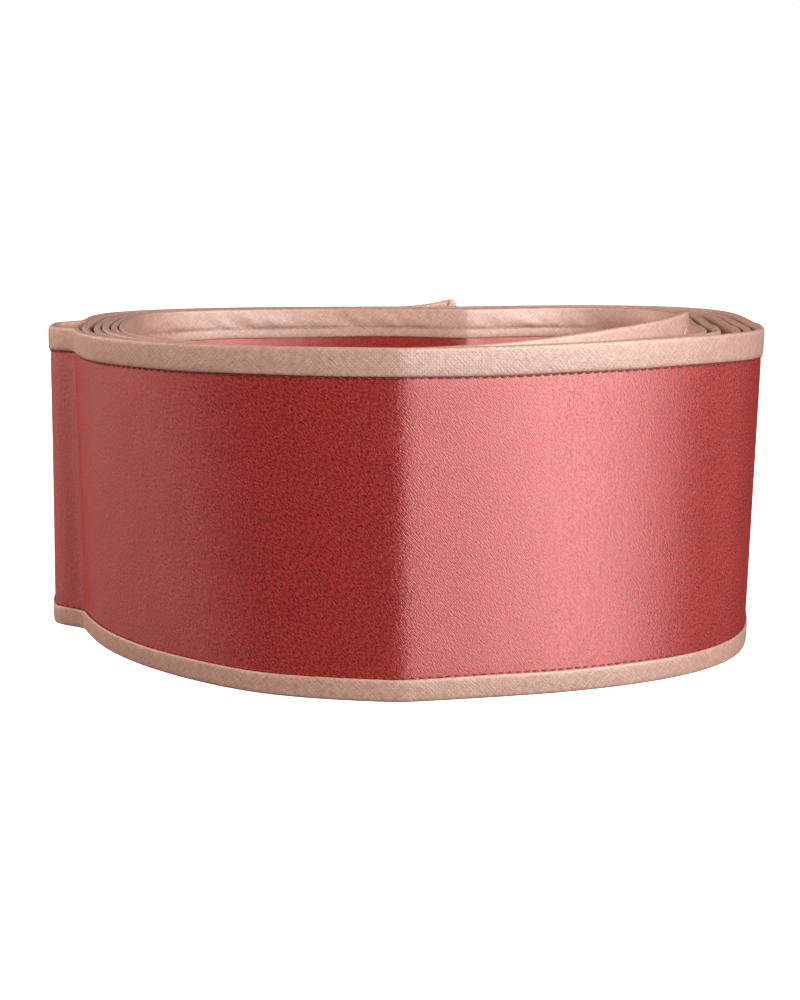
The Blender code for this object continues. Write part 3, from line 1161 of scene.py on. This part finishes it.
@dataclass
class Sash:
    """The whole sash: satin, bindings and stitches; the pieces hide the frame's nodes that they
    replace.
    """

    body: str = "root"
    thread_gap: float = 0.00027
    front_thread_offset: float = 0.00049
    reverse_thread_offset: float = 0.00080
    reverse_line_share: float = 0.68
    made: list = field(default_factory=list)

    def __post_init__(self) -> None:
        """Set out the strip and its materials."""
        self.path = CoilPath()
        tape = BindingFinish().build()
        self.satin = SatinStrip(self.path, SatinFinish().build())
        self.binding = EdgeBinding(self.path, tape)
        self.stitches = StitchLine(self.path, ThreadFinish().build())
        pale = ThreadFinish("peach_thread", dark=(0.30, 0.15, 0.11), light=(0.48, 0.28, 0.22))
        self.reverse_stitches = StitchLine(self.path, pale.build())

    def turn_limits(self) -> list[tuple[float, float]]:
        """Return where each turn starts and ends along the strip."""
        turns = len(self.path.inset_rows)
        breaks = [self.path.along_at(self.path.outer_end_deg + 360.0 * i) for i in range(turns)]
        breaks.append(self.path.length)
        return list(zip(breaks, breaks[1:]))

    def keep(self, piece: bpy.types.Object, slot: SlotName | None, *nodes: str) -> None:
        """Let a piece ride with the sash, and hide the frame's nodes that it replaces.

        Args:
            piece: the piece.
            slot: not used.
            nodes: the frame's nodes that it replaces.
        """
        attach(piece, self.body)
        if nodes:
            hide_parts(*nodes)
        self.made.append(piece)
        LOG.info("%s: %d faces", piece.name, len(piece.data.polygons))

    def build(self) -> None:
        """Make every piece."""
        for number, (start, end) in enumerate(self.turn_limits(), start=1):
            self.build_turn(number, start, end)
        for end in End:
            edge = self.binding.build_end(end)
            self.keep(edge, SlotName.BINDING, f"binding_end_{end.value}")
        self.build_stitches()

    def build_turn(self, number: int, start: float, end: float) -> None:
        """Make the satin and the bindings of one turn.

        Args:
            number: the turn, outermost first.
            start: where it starts along the strip.
            end: where it ends.
        """
        for edge in Edge:
            tape = self.binding.build_run(edge, number, start, end)
            self.keep(tape, SlotName.BINDING, f"binding_{edge.value}_turn_{number}")
        cover = self.satin.edge_cover
        first = max(start, cover)
        last = min(end, self.path.length - cover)
        cloth = self.satin.build_stretch(number, first, last)
        self.keep(cloth, SlotName.SATIN, f"satin_turn_{number}")
        flat = (self.path.width - 2.0 * cover, last - first)

    def build_stitches(self) -> None:
        """Make the stitch lines beside the bindings, on the front and on the reverse."""
        pitch = self.stitches.pitch
        inset = self.binding.sections[End.OUTER].front + self.thread_gap
        count = int((self.path.length - 2.0 * inset) / pitch)
        along = np.linspace(inset, self.path.length - inset, count + 1)
        for edge in Edge:
            front = self.binding.front_width(edge, along) + self.thread_gap
            reverse = self.binding.reverse_width(edge, along) * self.reverse_line_share
            lines = (
                (Side.FRONT, self.stitches, front, self.front_thread_offset),
                (Side.REVERSE, self.reverse_stitches, reverse, self.reverse_thread_offset),
            )
            for side, stitches, depth, offset in lines:
                height = self.path.height_inside(edge, depth)
                name = f"stitches_{edge.value}_{side.name.lower()}"
                self.keep(stitches.build(name, along, height, offset, side), None)
        self.build_end_stitches(inset)

    def build_end_stitches(self, inset: float) -> None:
        """Make the stitches beside the binding of each short end.

        Args:
            inset: how far from the end they run.
        """
        low = self.binding.sections[Edge.BOTTOM].front
        high = self.path.width - self.binding.sections[Edge.TOP].front
        count = int((high - low) / self.stitches.pitch)
        height = np.linspace(low, high, count + 1)[1:-1]
        for end in End:
            place = inset if end is End.OUTER else self.path.length - inset
            along = np.full(len(height), place)
            name = f"stitches_end_{end.value}"
            offset = self.front_thread_offset
            line = self.stitches.build(name, along, height, offset, Side.FRONT, upright=True)
            self.keep(line, None)


@dataclass(frozen=True)
class SoftLight:
    """A rectangular soft light that looks at the sash."""

    name: str
    azimuth_deg: float
    elevation_deg: float
    distance: float
    width: float
    height: float
    watts: float
    colour: tuple[float, float, float] = WHITE
    mirrored: bool = True
    aim: tuple[float, float, float] = (0.0, 0.0, 0.04)

    def build(self) -> bpy.types.Object:
        """Place the light."""
        azimuth = math.radians(self.azimuth_deg)
        elevation = math.radians(self.elevation_deg)
        level = self.distance * math.cos(elevation)
        offset = Vector((level * math.sin(azimuth), -level * math.cos(azimuth), 0.0))
        offset.z = self.distance * math.sin(elevation)
        data = bpy.data.lights.new(self.name, "AREA")
        data.shape = "RECTANGLE"
        data.size = self.width
        data.size_y = self.height
        data.energy = self.watts
        data.color = self.colour
        item = bpy.data.objects.new(self.name, data)
        item.location = Vector(self.aim) + offset
        item.rotation_euler = (-offset).to_track_quat("-Z", "Y").to_euler()
        item.visible_glossy = self.mirrored
        bpy.context.scene.collection.objects.link(item)
        return item


@dataclass
class Studio:
    """The camera, the pale floor, the white surroundings and the soft lights."""

    lens_mm: float = 55.73
    sensor_mm: float = 36.0
    nearest_seen: float = 0.01
    camera_distance: float = 0.33679
    camera_height: float = 0.10694
    camera_tilt_deg: float = 10.181
    floor_size: float = 8.0
    seen_white: float = 1.0
    felt_white: float = 0.08
    # azimuth and elevation in degrees, distance, width, height and watts
    lights: tuple = (
        SoftLight("key", 41.0, 22.0, 1.25, 0.80, 0.75, 27.5),
        SoftLight("left_wash", -104.0, 20.0, 1.40, 2.00, 0.80, 9.5, WARM_WHITE),
        SoftLight("left_fill", -90.0, 20.0, 1.40, 1.20, 0.80, 21.0, WARM_WHITE, mirrored=False),
        SoftLight("right_wash", 104.0, 20.0, 1.40, 0.70, 0.70, 2.0),
        SoftLight("overhead", -10.0, 64.0, 1.50, 0.60, 0.60, 4.0, mirrored=False),
    )

    def build(self, path: CoilPath) -> None:
        """Set the scene up.

        Args:
            path: the strip's path, whose front point the camera faces.
        """
        bpy.context.scene.view_settings.view_transform = "Standard"
        self.build_camera(path)
        self.build_floor()
        self.build_surroundings()
        for light in self.lights:
            light.build()
            LOG.info("light %s", light.name)

    def build_camera(self, path: CoilPath) -> None:
        """Place the camera in front of the coil's front point."""
        data = bpy.data.cameras.new("camera")
        data.lens = self.lens_mm
        data.sensor_width = self.sensor_mm
        data.clip_start = self.nearest_seen
        item = bpy.data.objects.new("camera", data)
        x, y = path.front_point
        item.location = (x, y - self.camera_distance, self.camera_height)
        item.rotation_euler = (math.radians(90.0 - self.camera_tilt_deg), 0.0, 0.0)
        bpy.context.scene.collection.objects.link(item)
        bpy.context.scene.camera = item

    def build_floor(self) -> None:
        """Lay the floor that the sash stands on."""
        deselect_all()
        bpy.ops.mesh.primitive_plane_add(size=self.floor_size)
        floor = bpy.context.object
        floor.name = "floor"
        floor.data.materials.append(FloorFinish().build())
        floor.visible_diffuse = False
        floor.visible_glossy = False

    def build_surroundings(self) -> None:
        """Make surroundings that look white and light the sash softly."""
        world = bpy.data.worlds.new("white_room")
        bpy.context.scene.world = world
        world.use_nodes = True
        tree = world.node_tree
        shader = tree.nodes["Background"]
        rays = tree.nodes.new("ShaderNodeLightPath")
        strength = Value(tree, rays.outputs["Is Camera Ray"])
        strength = strength * (self.seen_white - self.felt_white) + self.felt_white
        shader.inputs["Color"].default_value = (*WHITE, 1.0)
        tree.links.new(strength.socket, shader.inputs["Strength"])


def main() -> None:
    """Build the sash and its studio."""
    logging.basicConfig(level=logging.INFO, format="%(message)s")
    sash = Sash()
    Studio().build(sash.path)
    sash.build()
    LOG.info("%d pieces", len(sash.made))


if __name__ == "__main__":
    main()
